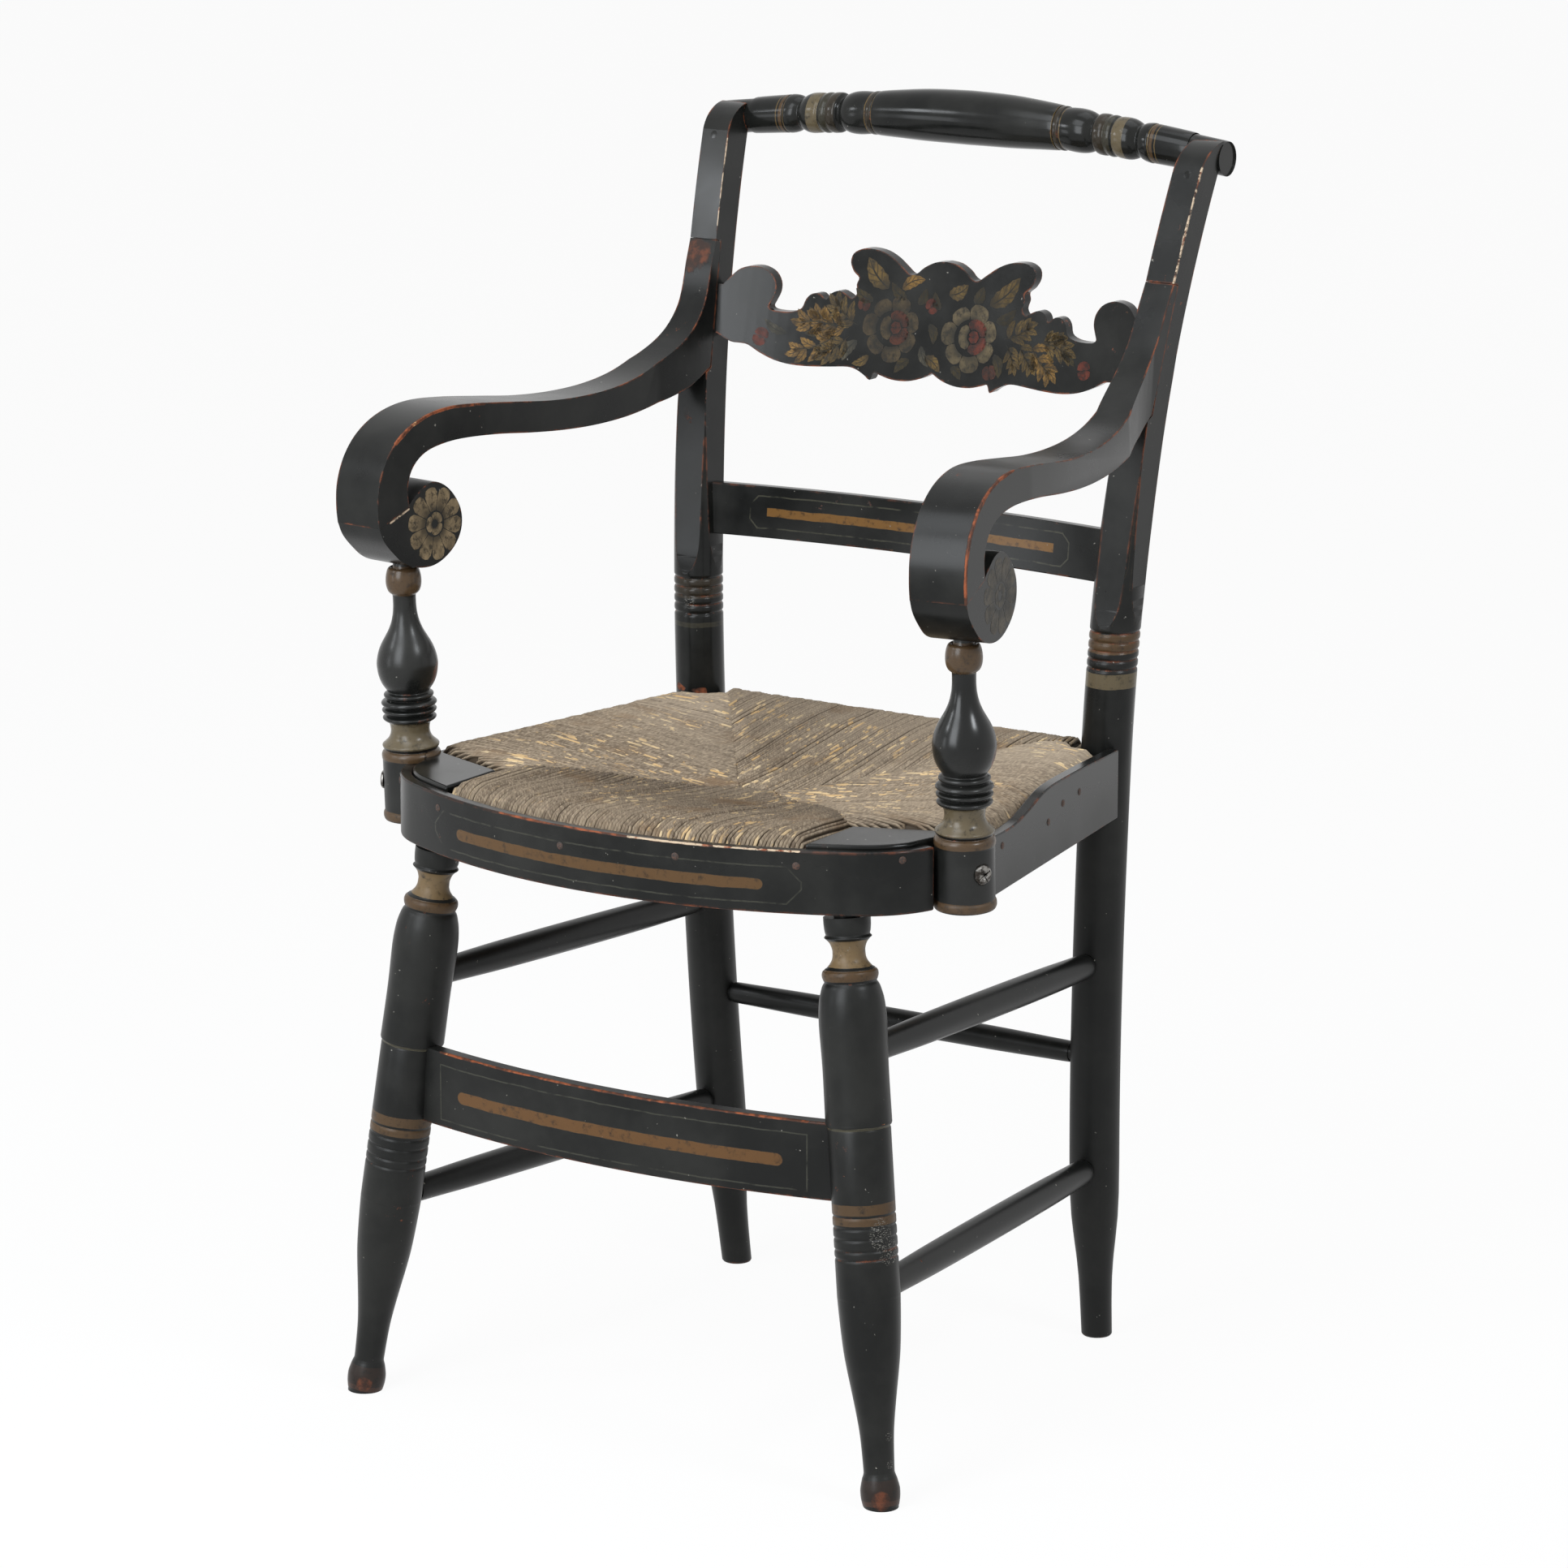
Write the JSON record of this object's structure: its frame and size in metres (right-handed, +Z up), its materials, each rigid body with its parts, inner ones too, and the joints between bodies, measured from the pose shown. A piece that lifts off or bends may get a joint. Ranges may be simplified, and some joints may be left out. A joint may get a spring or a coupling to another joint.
{
  "type": "armchair",
  "caption": "Black-painted open armchair with turned legs and arm posts, scrolled arms, arched turned crest rail, cut-out stencilled slat and woven rush seat.",
  "frame": {"origin": "on the floor, at the middle of the chair's width and depth", "axes": "+Z up, the chair faces -Y, +X is the right-hand side as seen from the front"},
  "size_m": [0.5058, 0.4972, 0.8783],
  "materials": {
    "black_paint": "worn black paint with a soft sheen",
    "stencilled_black": "worn black paint with bronze stencilling",
    "bare_seat_rail": "bare wood, hidden in the rush",
    "aged_rush": "aged twisted rush, matte",
    "worn_steel": "worn steel screw"
  },
  "bodies": {
    "root": {"left_back_post": "black_paint", "right_back_post": "black_paint", "crest_rail": "black_paint", "left_crest_plug": "black_paint", "right_crest_plug": "black_paint", "shaped_slat": "stencilled_black", "lower_slat": "black_paint", "left_arm": "black_paint", "right_arm": "black_paint", "left_scroll_block": "black_paint", "right_scroll_block": "black_paint", "left_arm_support": "black_paint", "right_arm_support": "black_paint", "left_support_screw": "worn_steel", "right_support_screw": "worn_steel", "front_seat_rail": "bare_seat_rail", "back_seat_rail": "bare_seat_rail", "left_seat_rail": "bare_seat_rail", "right_seat_rail": "bare_seat_rail", "left_corner_block": "black_paint", "right_corner_block": "black_paint", "rush_seat": "aged_rush", "front_seat_trim": "black_paint", "left_seat_trim": "black_paint", "right_seat_trim": "black_paint", "left_front_leg": "black_paint", "right_front_leg": "black_paint", "front_stretcher": "black_paint", "left_upper_side_stretcher": "black_paint", "right_upper_side_stretcher": "black_paint", "left_lower_side_stretcher": "black_paint", "right_lower_side_stretcher": "black_paint", "back_stretcher": "black_paint"}
  },
  "joints": []
}
